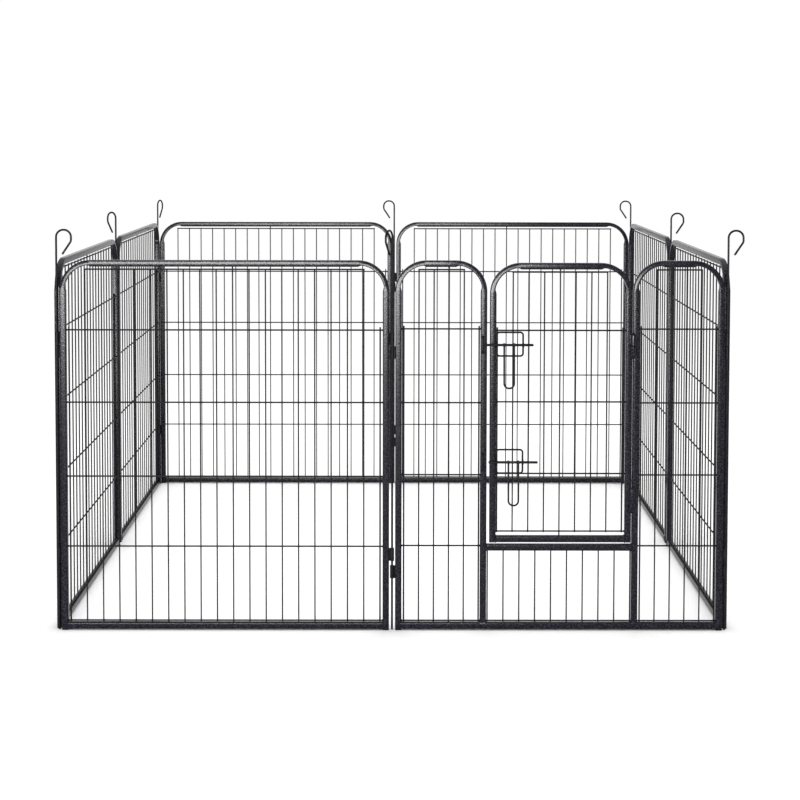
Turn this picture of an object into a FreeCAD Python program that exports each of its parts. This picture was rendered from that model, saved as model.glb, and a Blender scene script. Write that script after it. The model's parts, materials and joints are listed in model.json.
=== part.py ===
import FreeCAD, Part

import math
import os

import Sketcher

# A folding pet playpen: eight welded steel panels, hinged edge to edge by long
# drop-in pins and stood up as a square two panels long on each side.  One panel
# holds a door with two slide bolts.
#
# Frame: millimetres, +Z up, the origin on the floor at the middle of the pen.
# The gate side faces -Y.  Each panel is drawn lying along +X from its first hinge
# pin, with its outer face towards -Y, and is then placed around the square.

Vector = FreeCAD.Vector
Placement = FreeCAD.Placement
Rotation = FreeCAD.Rotation
Z_AXIS = Vector(0, 0, 1)

DIMENSIONS = [
    ("pitch", 722, "distance between neighbouring hinge pins"),
    ("post_gap", 13, "clear gap between two neighbouring posts"),
    ("tube_width", 14, "outside width of the square tube"),
    ("tube_wall", 1, "tube wall"),
    ("tube_round", 2.5, "outside corner rounding of the tube"),
    ("bend_radius", 60, "centre-line radius of the hoop's bends"),
    ("foot_height", 2.5, "height of the end cap under a post"),
    ("cap_plug", 10, "length of the end cap's plug inside the tube"),
    ("cap_slack", 0.2, "clearance around the plug"),
    ("hoop_height", 804, "top of the hoop above the floor"),
    ("mesh_wire", 3, "diameter of the inner upright wires"),
    ("border_wire", 3.5, "diameter of the cross wires and border wires"),
    ("weld_bite", 0.3, "how far crossing wires are welded into each other"),
    ("wire_spacing", 35.26, "spacing of a panel's upright wires"),
    ("border_offset", 26, "first upright wire from the hinge pin"),
    ("top_wire_drop", 20, "top cross wire below the top of the hoop"),
    ("bottom_wire_lift", 3, "lowest cross wire above the floor rail"),
    ("border_rise", 7, "border wires above the highest full cross wire"),
    ("panel_row_low", 182, "panel cross wire"),
    ("panel_row_mid", 335, "panel cross wire"),
    ("panel_row_high", 496, "panel cross wire"),
    ("panel_row_top", 653, "panel cross wire"),
    ("gate_row_low", 184, "gate cross wire"),
    ("gate_row_mid", 339, "gate cross wire"),
    ("gate_row_high", 496, "gate cross wire"),
    ("gate_row_top", 656, "gate cross wire"),
    ("door_row_low", 342, "door cross wire"),
    ("door_row_mid", 498, "door cross wire"),
    ("door_row_top", 653, "door cross wire"),
    ("crown_flat", 1, "short flat at the crown of a half-round bend"),
    ("pin_width", 4.5, "hinge pin diameter"),
    ("pin_top", 868.75, "centre line of the pin's loop at its highest"),
    ("loop_radius", 16, "radius of the pin's loop"),
    ("loop_side", 5, "straight run after the loop's half circle"),
    ("loop_tuck", 10, "radius of the loop's last bend"),
    ("loop_end_in", 13.5, "open end of the loop from the pin's axis"),
    ("loop_end_drop", 36, "open end of the loop below its centre"),
    ("knuckle_outer", 9, "hinge knuckle outside diameter"),
    ("knuckle_bore", 5, "hinge knuckle bore"),
    ("knuckle_length", 28, "hinge knuckle length"),
    ("knuckle_web", 3, "thickness of the web that holds a knuckle"),
    ("first_knuckle_low", 113, "underside of the lower knuckle, first post"),
    ("first_knuckle_high", 591, "underside of the upper knuckle, first post"),
    ("last_knuckle_low", 151, "underside of the lower knuckle, last post"),
    ("last_knuckle_high", 621, "underside of the upper knuckle, last post"),
    ("section_width", 197.5, "outside width of the gate's side hoops"),
    ("section_spacing", 32.4, "spacing of their upright wires"),
    ("section_offset", 25, "first upright wire from the hinge pin"),
    ("sill_height", 174.5, "underside of the doorway's sill"),
    ("apron_offset", 206.4, "first upright wire under the sill"),
    ("apron_spacing", 34.36, "spacing of the wires under the sill"),
    ("door_left", 210, "outer face of the door's latch post"),
    ("door_width", 306.5, "outside width of the door"),
    ("door_bottom", 193, "underside of the door"),
    ("door_top", 799, "top of the door"),
    ("door_wire_offset", 226, "first upright wire of the door"),
    ("door_wire_spacing", 33.8, "spacing of the door's upright wires"),
    ("door_wire_lift", 9, "lowest cross wire above the door's rail"),
    ("barrel_width", 12, "door hinge barrel diameter"),
    ("barrel_length", 28, "length of each half of a door hinge"),
    ("barrel_bore", 6.4, "bore of the door hinge"),
    ("barrel_pin", 6, "pin of the door hinge"),
    ("barrel_gap", 0.5, "gap between the two halves"),
    ("leaf_thickness", 3, "welded leaf of a door hinge"),
    ("leaf_reach", 10, "leaf from the hinge axis"),
    ("hinge_low", 259, "underside of the lower door hinge"),
    ("hinge_high", 593, "underside of the upper door hinge"),
    ("latch_wire", 4, "diameter of the latch wires"),
    ("bolt_width", 5.5, "bolt rod diameter"),
    ("bolt_length", 106, "bolt rod length"),
    ("bolt_standoff", 12, "bolt axis in front of the panel's middle"),
    ("bolt_low", 369, "lower bolt height"),
    ("bolt_high", 623, "upper bolt height"),
    ("bolt_tip_low", 207.5, "tip of the lower bolt, drawn back"),
    ("bolt_tip_high", 197.3, "tip of the upper bolt, just clear of its keeper"),
    ("bolt_chamfer", 1, "rounding of the bolt's ends"),
    ("handle_offset", 43, "handle's first leg from the bolt's tip"),
    ("handle_width", 21.5, "distance between the handle's legs"),
    ("handle_drop", 95, "handle's lowest point below the bolt's axis"),
    ("handle_tilt", 3.2, "lean of the handle where it rests on the guide, degrees"),
    ("eye_outer", 8.1, "outside diameter of the handle's eyes"),
    ("eye_bore", 5.7, "bore of the handle's eyes"),
    ("eye_length", 4.6, "length of the handle's eyes along the bolt"),
    ("guide_left", 224.5, "near side bar of a latch guide"),
    ("guide_width", 56.5, "distance between its side bars"),
    ("guide_height", 51, "distance between its top and bottom bars"),
    ("guide_lift", 1.5, "middle of the guide above the bolt"),
    ("guide_corner", 6, "corner radius of the guide"),
    ("guide_slack", 0.15, "clearance of the guide's rings round the bolt"),
    ("guide_relief", 0.3, "gap between the near ring's ground back and the post"),
    ("keeper_place", 194.5, "bar of a keeper from the hinge pin"),
    ("keeper_reach", 17, "keeper's feet above and below the bolt"),
    ("keeper_slack", 0.45, "clearance of the keeper in front of the bolt"),
    ("keeper_corner", 5, "corner radius of the keeper"),
]
PANEL_WIRES = 20
SECTION_WIRES = 6
APRON_WIRES = 10
DOOR_WIRES = 9

document = FreeCAD.newDocument("pet_playpen")
sheet = document.addObject("Spreadsheet::Sheet", "Dimensions")


class Size:
    """A number that also carries the sheet expression it was worked out from."""

    def __init__(self, value, text):
        self.value = value
        self.text = text

    @staticmethod
    def of(other):
        if isinstance(other, Size):
            return other
        return Size(float(other), "(%.6f)" % other)

    def join(self, other, sign, value):
        return Size(value, "(%s %s %s)" % (self.text, sign, other.text))

    def __add__(self, other):
        other = Size.of(other)
        return self.join(other, "+", self.value + other.value)

    def __sub__(self, other):
        other = Size.of(other)
        return self.join(other, "-", self.value - other.value)

    def __mul__(self, other):
        other = Size.of(other)
        return self.join(other, "*", self.value * other.value)

    def __truediv__(self, other):
        other = Size.of(other)
        return self.join(other, "/", self.value / other.value)

    def __neg__(self):
        return Size.of(0) - self


class Dimensions:
    """The driving dimensions, each one a Size bound to its cell in the sheet."""


def read_dimensions():
    sizes = Dimensions()
    for row, (name, value, meaning) in enumerate(DIMENSIONS, start=1):
        sheet.set("A%d" % row, meaning)
        sheet.set("B%d" % row, str(value))
        sheet.setAlias("B%d" % row, name)
        setattr(sizes, name, Size(float(value), "Dimensions." + name))
    return sizes


def bind(feature, **sizes):
    for name, size in sizes.items():
        feature.setExpression(name, Size.of(size).text)


def place(feature, x=0, y=0, z=0, rotation=None):
    """Put a feature at a bound position, with an optional fixed rotation."""
    if rotation is not None:
        feature.Placement = Placement(Vector(0, 0, 0), rotation)
    feature.setExpression("Placement.Base.x", Size.of(x).text)
    feature.setExpression("Placement.Base.y", Size.of(y).text)
    feature.setExpression("Placement.Base.z", Size.of(z).text)


# Sketches

def new_body(name):
    return document.addObject("PartDesign::Body", name)


def new_sketch(body, plane, name, offset=0):
    """A sketch on one of the body's own origin planes, lifted off it by offset."""
    sketch = body.newObject("Sketcher::SketchObject", name)
    support = [item for item in body.Origin.OriginFeatures if item.Role == plane][0]
    sketch.AttachmentSupport = [(support, "")]
    sketch.MapMode = "FlatFace"
    sketch.setExpression("AttachmentOffset.Base.z", Size.of(offset).text)
    return sketch


def constrain(sketch, *definition):
    """Add a constraint; a Size as its last value is bound to the sheet."""
    size = definition[-1]
    if isinstance(size, Size):
        definition = definition[:-1] + (size.value,)
    index = sketch.addConstraint(Sketcher.Constraint(*definition))
    if isinstance(size, Size):
        sketch.setExpression("Constraints[%d]" % index, size.text)


def fix_point(sketch, geometry, point, x, y):
    """Hold a point of the sketch at (x, y) from its origin."""
    for kind, size in (("DistanceX", Size.of(x)), ("DistanceY", Size.of(y))):
        if abs(size.value) < 1e-9:
            axis = -2 if kind == "DistanceX" else -1
            constrain(sketch, "PointOnObject", geometry, point, axis)
        else:
            constrain(sketch, kind, -1, 1, geometry, point, size)


def circle(sketch, x, y, diameter):
    x = Size.of(x)
    y = Size.of(y)
    shape = Part.Circle(Vector(x.value, y.value, 0), Z_AXIS, diameter.value / 2)
    index = sketch.addGeometry(shape, False)
    fix_point(sketch, index, 3, x, y)
    constrain(sketch, "Diameter", index, diameter)


def rounded_square(sketch, x, y, width, radius):
    """A square of the given width about (x, y), with rounded corners."""
    half = width.value / 2
    inner = half - radius.value
    centre = Vector(x.value, y.value, 0)
    lines = []
    arcs = []
    for quarter in range(4):
        turn = Rotation(Z_AXIS, 90 * quarter)
        start = centre + turn.multVec(Vector(-inner, -half, 0))
        end = centre + turn.multVec(Vector(inner, -half, 0))
        lines.append(sketch.addGeometry(Part.LineSegment(start, end), False))
        middle = centre + turn.multVec(Vector(inner, -inner, 0))
        round_edge = Part.Circle(middle, Z_AXIS, radius.value)
        first = math.radians(-90 + 90 * quarter)
        arc = Part.ArcOfCircle(round_edge, first, first + math.pi / 2)
        arcs.append(sketch.addGeometry(arc, False))
    for quarter in range(4):
        following = lines[(quarter + 1) % 4]
        constrain(sketch, "Tangent", lines[quarter], 2, arcs[quarter], 1)
        constrain(sketch, "Tangent", arcs[quarter], 2, following, 1)
        constrain(sketch, "Vertical" if quarter % 2 else "Horizontal", lines[quarter])
    for arc in arcs[1:]:
        constrain(sketch, "Equal", arcs[0], arc)
    constrain(sketch, "Radius", arcs[0], radius)
    constrain(sketch, "DistanceX", -1, 1, lines[1], 1, x + width / 2)
    constrain(sketch, "DistanceX", lines[3], 1, lines[1], 1, width)
    constrain(sketch, "DistanceY", -1, 1, arcs[1], 3, y + width / 2 - radius)
    constrain(sketch, "DistanceY", lines[0], 1, lines[2], 1, width)


def tube_section(sketch, x, y):
    """The hollow section of the square tube."""
    rounded_square(sketch, x, y, size.tube_width, size.tube_round)
    bore = size.tube_width - size.tube_wall * 2
    rounded_square(sketch, x, y, bore, size.tube_round - size.tube_wall)


def unit(vector):
    return vector * (1 / vector.Length)


def rounded_path(sketch, corners):
    """Straight runs through the corners, joined by tangent arcs.

    Each corner is (x, y, radius); the two ends have no radius.
    """
    points = [Vector(Size.of(x).value, Size.of(y).value, 0) for x, y, radius in corners]
    starts = [points[0]]
    ends = []
    bends = []
    for before, here, after, corner in zip(points, points[1:], points[2:], corners[1:]):
        radius = corner[2].value
        back = unit(before - here)
        onward = unit(after - here)
        half = back.getAngle(onward) / 2
        reach = radius / math.tan(half)
        ends.append(here + back * reach)
        starts.append(here + onward * reach)
        middle = here + unit(back + onward) * (radius / math.sin(half))
        crown = middle + unit(here - middle) * radius
        bends.append((here + back * reach, crown, here + onward * reach))
    ends.append(points[-1])
    lines = []
    for start, end in zip(starts, ends):
        lines.append(sketch.addGeometry(Part.LineSegment(start, end), False))
    arcs = []
    for start, crown, end in bends:
        arcs.append(sketch.addGeometry(Part.Arc(start, crown, end), False))
    fix_point(sketch, lines[0], 1, corners[0][0], corners[0][1])
    fix_point(sketch, lines[-1], 2, corners[-1][0], corners[-1][1])
    for number, arc in enumerate(arcs):
        before = lines[number]
        after = lines[number + 1]
        x, y, radius = corners[number + 1]
        corner = sketch.addGeometry(Part.Point(points[number + 1]), True)
        fix_point(sketch, corner, 1, x, y)
        constrain(sketch, "PointOnObject", corner, 1, before)
        constrain(sketch, "PointOnObject", corner, 1, after)
        turns_left = (points[number + 1] - points[number]).cross(
            points[number + 2] - points[number + 1]).z > 0
        entry, leave = (1, 2) if turns_left else (2, 1)
        constrain(sketch, "Tangent", before, 2, arc, entry)
        constrain(sketch, "Tangent", arc, leave, after, 1)
        constrain(sketch, "Radius", arc, radius)


def sweep(body, section, path):
    pipe = body.newObject("PartDesign::AdditivePipe", "Pipe")
    pipe.Profile = section
    pipe.Spine = (path, [])
    section.Visibility = False
    path.Visibility = False
    return pipe


# Solids

def cylinder(diameter, length, x=0, y=0, z=0, rotation=None):
    feature = document.addObject("Part::Cylinder", "Cylinder")
    bind(feature, Radius=diameter / 2, Height=length)
    place(feature, x, y, z, rotation)
    return feature


def box(length, width, height, x=0, y=0, z=0, rotation=None):
    feature = document.addObject("Part::Box", "Box")
    bind(feature, Length=length, Width=width, Height=height)
    place(feature, x, y, z, rotation)
    return feature


def torus(ring_radius, wire, x, y, z, rotation):
    feature = document.addObject("Part::Torus", "Torus")
    bind(feature, Radius1=ring_radius, Radius2=wire / 2)
    place(feature, x, y, z, rotation)
    return feature


def fuse(*solids):
    feature = document.addObject("Part::MultiFuse", "Fusion")
    feature.Shapes = list(solids)
    return feature


def cut(base, tool):
    feature = document.addObject("Part::Cut", "Cut")
    feature.Base = base
    feature.Tool = tool
    return feature


ALONG_X = Rotation(Vector(0, 1, 0), 90)
subparts = []


def subpart(label, links, placement=None):
    """One named piece, or one group of identical pieces, in its final place."""
    feature = document.addObject("Part::Compound", label)
    feature.Label = label
    feature.Links = list(links)
    feature.Placement = placement or Placement()
    subparts.append(feature)


# Pieces that panels share, drawn along +X from the panel's first hinge pin

def hoop(name, left, right, bottom, top):
    """An inverted U of square tube between two outer faces."""
    body = new_body(name)
    half = size.tube_width / 2
    section = new_sketch(body, "XY_Plane", "Section", bottom)
    tube_section(section, left + half, Size.of(0))
    path = new_sketch(body, "XZ_Plane", "Path")
    rounded_path(path, [
        (left + half, bottom, None),
        (left + half, top - half, size.bend_radius),
        (right - half, top - half, size.bend_radius),
        (right - half, bottom, None),
    ])
    sweep(body, section, path)
    return body


def rail(name, left, right, bottom):
    """A straight length of the square tube along X."""
    body = new_body(name)
    section = new_sketch(body, "YZ_Plane", "Section", left)
    tube_section(section, Size.of(0), bottom + size.tube_width / 2)
    pad = body.newObject("PartDesign::Pad", "Pad")
    pad.Profile = section
    bind(pad, Length=right - left)
    section.Visibility = False
    return body


def upright(x, bottom, top, diameter):
    return cylinder(diameter, top - bottom, x, size.weld_bite - diameter / 2, bottom)


def cross_wire(z, left, right):
    diameter = size.border_wire
    return cylinder(diameter, right - left, left, diameter / 2, z, ALONG_X)


def wire_mesh(first, spacing, count, rows, left, right, floor, top_wire, reach_up, reach_down):
    """A welded grid: upright wires in front, cross wires behind.

    The rows run from post to post.  The outermost uprights are heavier and stop
    just above the highest row; the others run up to a top wire of their own.
    """
    wires = [cross_wire(row, left, right) for row in rows]
    inner_left = first + spacing
    inner_right = first + spacing * (count - 2)
    overhang = size.border_wire / 2
    wires.append(cross_wire(top_wire, inner_left - overhang, inner_right + overhang))
    middle = count // 2
    for number in range(count):
        x = first + spacing * number
        if number in (0, count - 1):
            wires.append(upright(x, floor, rows[-1] + size.border_rise, size.border_wire))
        elif number == middle:
            wires.append(upright(x, reach_down, reach_up, size.mesh_wire))
        else:
            wires.append(upright(x, floor, top_wire + size.border_wire / 2, size.mesh_wire))
    return fuse(*wires)


def knuckle(pin_x, post_face, bottom):
    """A short tube round the hinge pin, with a web to its own post."""
    shell = cylinder(size.knuckle_outer, size.knuckle_length, pin_x, 0, bottom)
    web_length = (size.post_gap - size.knuckle_bore) / 2
    starts_at_pin = post_face.value > Size.of(pin_x).value
    web_left = post_face - web_length if starts_at_pin else post_face
    web = box(web_length, size.knuckle_web, size.knuckle_length,
              web_left, -size.knuckle_web / 2, bottom)
    bore = cylinder(size.knuckle_bore, size.knuckle_length, pin_x, 0, bottom)
    return cut(fuse(shell, web), bore)


def knuckles():
    """The four knuckles of one panel, two on each post."""
    return [
        knuckle(0, half_gap, size.first_knuckle_low),
        knuckle(0, half_gap, size.first_knuckle_high),
        knuckle(size.pitch, last_face, size.last_knuckle_low),
        knuckle(size.pitch, last_face, size.last_knuckle_high),
    ]


def end_cap(name, x, plug):
    """A cap under a post; a post that stands on its rail's mitre has no plug."""
    body = new_body(name)
    face = new_sketch(body, "XY_Plane", "Face")
    rounded_square(face, x, Size.of(0), size.tube_width, size.tube_round)
    pad = body.newObject("PartDesign::Pad", "Foot")
    pad.Profile = face
    bind(pad, Length=size.foot_height)
    face.Visibility = False
    if not plug:
        return body
    core = new_sketch(body, "XY_Plane", "Core", size.foot_height)
    bore = size.tube_width - size.tube_wall * 2 - size.cap_slack * 2
    rounded_square(core, x, Size.of(0), bore, size.tube_round - size.tube_wall)
    stub = body.newObject("PartDesign::Pad", "Plug")
    stub.Profile = core
    bind(stub, Length=size.cap_plug)
    core.Visibility = False
    return body


def hinge_pin():
    """A straight rod whose top is bent into an open loop, drawn towards +X."""
    body = new_body("hinge_pin_pattern")
    section = new_sketch(body, "XY_Plane", "Section")
    circle(section, 0, 0, size.pin_width)
    path = new_sketch(body, "XZ_Plane", "Path")
    side = size.loop_radius * 2
    crown = size.pin_top
    centre = crown - size.loop_radius
    tuck_x = side
    tuck_z = centre - size.loop_side - size.loop_tuck / 3
    nearly_round = size.loop_radius - size.crown_flat / 2
    rounded_path(path, [
        (0, 0, None),
        (0, crown, nearly_round),
        (side, crown, nearly_round),
        (tuck_x, tuck_z, size.loop_tuck),
        (size.loop_end_in, centre - size.loop_end_drop, None),
    ])
    sweep(body, section, path)
    return body


# The gate

def mitre_tool(x, z, turn):
    """A block turned about (x, z) so that one of its faces is a 45 degree mitre."""
    side = size.tube_width * 3
    return box(side, side, side, x, -side / 2, z, Rotation(Vector(0, 1, 0), turn))


def half_barrel(bottom, leaf_left, leaf_right):
    shell = cylinder(size.barrel_width, size.barrel_length,
                     hinge_x, -barrel_standoff, bottom)
    leaf = box(leaf_right - leaf_left, size.leaf_thickness, size.barrel_length,
               leaf_left, -(size.tube_width / 2 + size.leaf_thickness), bottom)
    return fuse(shell, leaf)


def door_half(bottom):
    """The upper half of a door hinge, bored from below."""
    start = bottom + size.barrel_length + size.barrel_gap
    solid = half_barrel(start, hinge_x - size.leaf_reach, hinge_x - leaf_clear)
    bore_length = size.barrel_length * 3 / 4
    bore = cylinder(size.barrel_bore, bore_length, hinge_x, -barrel_standoff, start)
    return cut(solid, bore)


def frame_half(bottom):
    """The lower half of a door hinge, with the pin that the door hangs on."""
    solid = half_barrel(bottom, hinge_x + leaf_clear, hinge_x + size.leaf_reach)
    pin_length = size.barrel_length * 3 / 2
    pin = cylinder(size.barrel_pin, pin_length, hinge_x, -barrel_standoff, bottom)
    return fuse(solid, pin)


def keeper(bolt_z):
    """A staple of wire on the gate post that the bolt slides behind."""
    body = new_body("keeper_pattern")
    wire = size.latch_wire
    face = -(size.tube_width / 2)
    front = -(size.bolt_standoff + size.bolt_width / 2 + wire / 2 + size.keeper_slack)
    section = new_sketch(body, "XZ_Plane", "Section", -face)
    circle(section, size.keeper_place, bolt_z - size.keeper_reach, wire)
    path = new_sketch(body, "YZ_Plane", "Path", size.keeper_place)
    rounded_path(path, [
        (face, bolt_z - size.keeper_reach, None),
        (front, bolt_z - size.keeper_reach, size.keeper_corner),
        (front, bolt_z + size.keeper_reach, size.keeper_corner),
        (face, bolt_z + size.keeper_reach, None),
    ])
    sweep(body, section, path)
    return body


def latch_guide(bolt_z):
    """A wire rectangle on the door's post whose sides ring round the bolt."""
    wire = size.latch_wire
    plane = -(size.tube_width / 2 + wire / 2)
    left = size.guide_left
    right = size.guide_left + size.guide_width
    low = bolt_z + size.guide_lift - size.guide_height / 2
    high = low + size.guide_height
    corner = size.guide_corner
    bars = [
        cylinder(wire, size.guide_width - corner * 2, left + corner, plane, low, ALONG_X),
        cylinder(wire, size.guide_width - corner * 2, left + corner, plane, high, ALONG_X),
    ]
    upright_length = size.guide_height - corner * 2
    for x in (left, right):
        bars.append(cylinder(wire, upright_length, x, plane, low + corner))
    corners = [(right, high, 0), (left, high, 90), (left, low, 180), (right, low, 270)]
    for x, z, turn in corners:
        inward_x = -corner if x is right else corner
        inward_z = -corner if z is high else corner
        upright_plane = Rotation(Vector(1, 0, 0), 90)
        spin = Rotation(Vector(0, -1, 0), turn)
        bend = torus(corner, wire, x + inward_x, plane, z + inward_z, spin * upright_plane)
        bend.Angle3 = 90
        bars.append(bend)
    ring_radius = size.bolt_width / 2 + size.guide_slack + wire / 2
    clearance = cylinder(ring_radius * 2, size.guide_width * 2, left - size.guide_width / 2,
                         -size.bolt_standoff, bolt_z, ALONG_X)
    frame = cut(fuse(*bars), clearance)
    near_ring = torus(ring_radius, wire, left, -size.bolt_standoff, bolt_z, ALONG_X)
    far_ring = torus(ring_radius, wire, right, -size.bolt_standoff, bolt_z, ALONG_X)
    behind_face = box(wire * 2, size.tube_width, size.tube_width * 2, left - wire,
                      -(size.tube_width / 2 + size.guide_relief), bolt_z - size.tube_width)
    return fuse(frame, cut(near_ring, behind_face), far_ring)


def bolt(tip, bolt_z):
    rod = cylinder(size.bolt_width, size.bolt_length, tip, -size.bolt_standoff, bolt_z, ALONG_X)
    feature = document.addObject("Part::Chamfer", "Chamfer")
    feature.Base = rod
    document.recompute()
    ends = [number for number, edge in enumerate(rod.Shape.Edges, start=1)
            if isinstance(edge.Curve, Part.Circle)]
    feature.Edges = [(number, size.bolt_chamfer.value, size.bolt_chamfer.value)
                     for number in ends]
    return feature


def handle():
    """A U of wire with an eye at the top of each leg, hung from the X axis."""
    body = new_body("handle_pattern")
    wire = size.latch_wire
    width = size.handle_width
    start = -(size.eye_bore + size.eye_outer) / 4
    section = new_sketch(body, "XY_Plane", "Section", start)
    circle(section, 0, 0, wire)
    path = new_sketch(body, "XZ_Plane", "Path")
    bottom = -(size.handle_drop - wire / 2)
    nearly_round = width / 2 - size.crown_flat / 2
    rounded_path(path, [
        (0, start, None),
        (0, bottom, nearly_round),
        (width, bottom, nearly_round),
        (width, start, None),
    ])
    sweep(body, section, path)
    for x in (Size.of(0), width):
        ring = new_sketch(body, "YZ_Plane", "Ring", x - size.eye_length / 2)
        circle(ring, 0, 0, size.eye_outer)
        pad = body.newObject("PartDesign::Pad", "Eye")
        pad.Profile = ring
        bind(pad, Length=size.eye_length)
        ring.Visibility = False
    hole = new_sketch(body, "YZ_Plane", "Hole", -wire)
    circle(hole, 0, 0, size.eye_bore)
    pocket = body.newObject("PartDesign::Pocket", "Bore")
    pocket.Profile = hole
    pocket.Reversed = True
    bind(pocket, Length=width + wire * 2)
    hole.Visibility = False
    return body


size = read_dimensions()
document.recompute()

half_gap = size.post_gap / 2
last_face = size.pitch - half_gap
first_inner = half_gap + size.tube_width
last_inner = last_face - size.tube_width
rail_top = size.foot_height + size.tube_width
top_wire = size.hoop_height - size.top_wire_drop
hoop_underside = size.hoop_height - size.tube_width
bottom_wire = rail_top + size.bottom_wire_lift
mesh_floor = bottom_wire - size.border_wire / 2

left_end = half_gap + size.section_width
right_end = last_face - size.section_width
door_right = size.door_left + size.door_width
hinge_x = (door_right + right_end) / 2
leaf_clear = (right_end - door_right) / 2
barrel_standoff = size.tube_width / 2 + size.barrel_width / 2

# Where each panel's first pin stands, counted in pitches from the middle of the
# pen, and which way the panel runs from it, in degrees.
PANELS = [
    ("front_left", -1, -1, 0),
    ("front_gate", 0, -1, 0),
    ("right_front", 1, -1, 90),
    ("right_rear", 1, 0, 90),
    ("rear_right", 1, 1, 180),
    ("rear_left", 0, 1, 180),
    ("left_rear", -1, 1, 270),
    ("left_front", -1, 0, 270),
]
# Each pin's place in the same way, and the direction of its loop, in degrees.
PINS = [
    ("pin_front_left", -1, -1, 0),
    ("pin_front_center", 0, -1, 244),
    ("pin_front_right", 1, -1, 0),
    ("pin_right_middle", 1, 0, 0),
    ("pin_rear_right", 1, 1, 180),
    ("pin_rear_center", 0, 1, 180),
    ("pin_rear_left", -1, 1, 72),
    ("pin_left_middle", -1, 0, 140),
]


def at_pitch(across, along, turn):
    pitch = size.pitch.value
    return Placement(Vector(across * pitch, along * pitch, 0), Rotation(Z_AXIS, turn))


def build_plain_panels():
    frame = hoop("hoop_pattern", half_gap, last_face, size.foot_height, size.hoop_height)
    floor_rail = rail("rail_pattern", first_inner, last_inner, size.foot_height)
    rows = [size.panel_row_low, size.panel_row_mid, size.panel_row_high, size.panel_row_top]
    mesh = wire_mesh(size.border_offset, size.wire_spacing, PANEL_WIRES,
                     [bottom_wire] + rows, first_inner, last_inner,
                     mesh_floor, top_wire, hoop_underside, rail_top)
    hinges = knuckles()
    caps = [end_cap("cap_pattern", half_gap + size.tube_width / 2, True),
            end_cap("cap_pattern", last_face - size.tube_width / 2, True)]
    for name, across, along, turn in PANELS:
        if name == "front_gate":
            continue
        spot = at_pitch(across, along, turn)
        subpart(name + "_hoop", [frame], spot)
        subpart(name + "_rail", [floor_rail], spot)
        subpart(name + "_mesh", [mesh], spot)
        subpart(name + "_knuckles", hinges, spot)
        subpart(name + "_end_caps", caps, spot)


def build_pins():
    pattern = hinge_pin()
    for name, across, along, turn in PINS:
        subpart(name, [pattern], at_pitch(across, along, turn))


def build_gate():
    spot = at_pitch(0, -1, 0)
    foot = size.foot_height
    left_stand = left_end - size.tube_width
    right_stand = right_end + size.tube_width

    def side_hoop(name, left, right, outer, middle_left, turn):
        whole = hoop(name, left, right, foot, size.hoop_height)
        mitred = cut(whole, mitre_tool(outer, foot, turn))
        stand = box(size.tube_width, size.tube_width, size.tube_width,
                    middle_left, -size.tube_width / 2, foot)
        return cut(mitred, stand)

    left = side_hoop("left_pattern", half_gap, left_end, half_gap, left_stand, 45)
    right = side_hoop("right_pattern", right_end, last_face, last_face, right_end, -135)
    subpart("gate_left_hoop", [left], spot)
    subpart("gate_right_hoop", [right], spot)

    long_rail = rail("gate_rail_pattern", half_gap, last_face, foot)
    long_rail = cut(long_rail, mitre_tool(half_gap, foot, -45))
    long_rail = cut(long_rail, mitre_tool(last_face, foot, -45))
    sill = rail("sill_pattern", left_end, right_end, size.sill_height)
    subpart("gate_rails", [long_rail, sill], spot)

    rows = [size.gate_row_low, size.gate_row_mid, size.gate_row_high, size.gate_row_top]
    rows = [bottom_wire] + rows
    right_first = right_end + size.section_offset - half_gap
    grids = []
    for first, left_post, right_post in ((size.section_offset, first_inner, left_stand),
                                         (right_first, right_stand, last_inner)):
        grids.append(wire_mesh(first, size.section_spacing, SECTION_WIRES, rows,
                               left_post, right_post, mesh_floor, top_wire,
                               hoop_underside, rail_top))
    apron = [cross_wire(bottom_wire, left_end, right_end)]
    for number in range(APRON_WIRES):
        x = size.apron_offset + size.apron_spacing * number
        foot_of_wire = rail_top if number == APRON_WIRES // 2 else mesh_floor
        apron.append(upright(x, foot_of_wire, size.sill_height, size.mesh_wire))
    grids.append(fuse(*apron))
    subpart("gate_mesh", grids, spot)
    subpart("gate_knuckles", knuckles(), spot)
    subpart("gate_end_caps", [
        end_cap("glide_pattern", half_gap + size.tube_width / 2, False),
        end_cap("glide_pattern", last_face - size.tube_width / 2, False),
    ], spot)
    subpart("gate_hinge_halves", [frame_half(size.hinge_low), frame_half(size.hinge_high)], spot)
    subpart("gate_keepers", [keeper(size.bolt_low), keeper(size.bolt_high)], spot)


def build_door():
    spot = at_pitch(0, -1, 0)
    inner_left = size.door_left + size.tube_width
    inner_right = door_right - size.tube_width
    frame = hoop("door_pattern", size.door_left, door_right, size.door_bottom, size.door_top)
    floor_rail = rail("door_rail_pattern", inner_left, inner_right, size.door_bottom)
    rail_edge = size.door_bottom + size.tube_width
    rows = [rail_edge + size.door_wire_lift, size.door_row_low, size.door_row_mid,
            size.door_row_top]
    mesh = wire_mesh(size.door_wire_offset, size.door_wire_spacing, DOOR_WIRES, rows,
                     inner_left, inner_right, rows[0] - size.border_wire / 2,
                     size.door_top - size.top_wire_drop,
                     size.door_top - size.tube_width, rail_edge)
    subpart("door_hoop", [frame], spot)
    subpart("door_rail", [floor_rail], spot)
    subpart("door_mesh", [mesh], spot)
    subpart("door_hinge_halves", [door_half(size.hinge_low), door_half(size.hinge_high)], spot)
    subpart("door_latch_guides",
            [latch_guide(size.bolt_low), latch_guide(size.bolt_high)], spot)


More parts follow.
